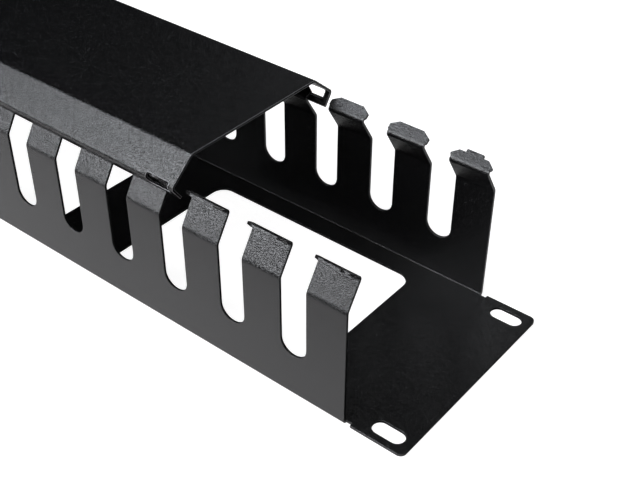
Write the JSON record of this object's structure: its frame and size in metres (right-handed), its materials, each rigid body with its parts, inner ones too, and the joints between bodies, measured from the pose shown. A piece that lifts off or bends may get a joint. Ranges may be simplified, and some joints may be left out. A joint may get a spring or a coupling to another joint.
{
  "type": "horizontal cable manager",
  "caption": "Finger duct for a 19-inch rack: a folded sheet-metal channel with slotted side fingers, plate cut-outs, slotted ears and a sliding press-on cover.",
  "frame": {"origin": "on the back face of the mounting plate, in the middle of the four rack slots", "axes": "+X along the channel and the rack's width, +Y across the rack height, +Z from the rack towards the front, where the cover is"},
  "size_m": [0.5358, 0.0888, 0.0732],
  "materials": {
    "panel_coat": "black fine-textured powder coat",
    "cover_coat": "black fine-textured powder coat"
  },
  "bodies": {
    "panel": {"finger_panel": "panel_coat"},
    "cover": {"cover": "cover_coat"}
  },
  "joints": [
    {"name": "cover_slide", "type": "slide", "parent": "panel", "child": "cover", "axis": [1, 0, 0], "range_m": [-0.3, 0.0758]}
  ]
}
